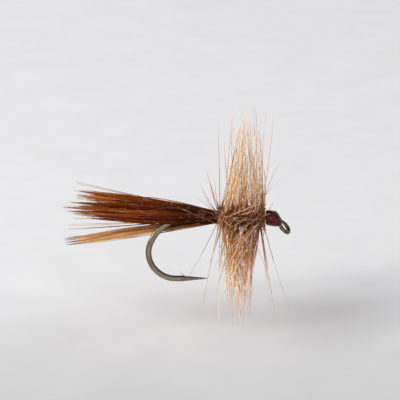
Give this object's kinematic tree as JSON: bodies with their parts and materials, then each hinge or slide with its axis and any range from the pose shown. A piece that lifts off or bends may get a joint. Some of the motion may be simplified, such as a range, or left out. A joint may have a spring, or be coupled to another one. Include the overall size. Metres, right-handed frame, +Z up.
{
  "type": "dry fly",
  "caption": "Hair-winged dry fly on a barbed down-eye hook, with a stiff collar hackle that holds it up on the water and a varnished thread head.",
  "frame": {"origin": "on the surface that the fly stands on, under the middle of its length; the hook shank's axis is 11.35 mm above it", "axes": "+X along the hook shank towards the eye, -Y out of the near side of the bend, +Z up"},
  "size_m": [0.0227, 0.0223, 0.0226],
  "materials": {
    "hook_steel": "satin",
    "tying_thread": "satin",
    "varnish": "gloss",
    "dubbing": "matte",
    "brown_hair": "satin",
    "tan_hair": "satin",
    "ginger_hackle": "satin",
    "cream_hackle": "satin"
  },
  "bodies": {
    "root": {"hook": "hook_steel", "thread_underwrap": "tying_thread", "wing_lashing_thread": "tying_thread", "head_thread": "tying_thread", "head_varnish": "varnish", "dubbed_thorax": "dubbing", "hackle_feather_rear": "ginger_hackle", "hackle_feather_front": "cream_hackle", "wing_tuft_far": "brown_hair", "wing_tuft_far_upper": "brown_hair", "wing_tuft_far_top": "brown_hair", "wing_tuft_top": "brown_hair", "wing_tuft_near_top": "brown_hair", "wing_tuft_near_upper": "brown_hair", "wing_tuft_near": "brown_hair", "wing_tuft_near_lower": "brown_hair", "wing_tuft_near_inner": "brown_hair", "wing_tuft_under": "tan_hair", "wing_tuft_far_under": "tan_hair", "wing_tuft_far_lower": "tan_hair", "wing_hair_top": "tan_hair", "wing_hair_far_1": "tan_hair", "wing_hair_far_2": "tan_hair", "wing_hair_far_3": "tan_hair"}
  },
  "joints": []
}
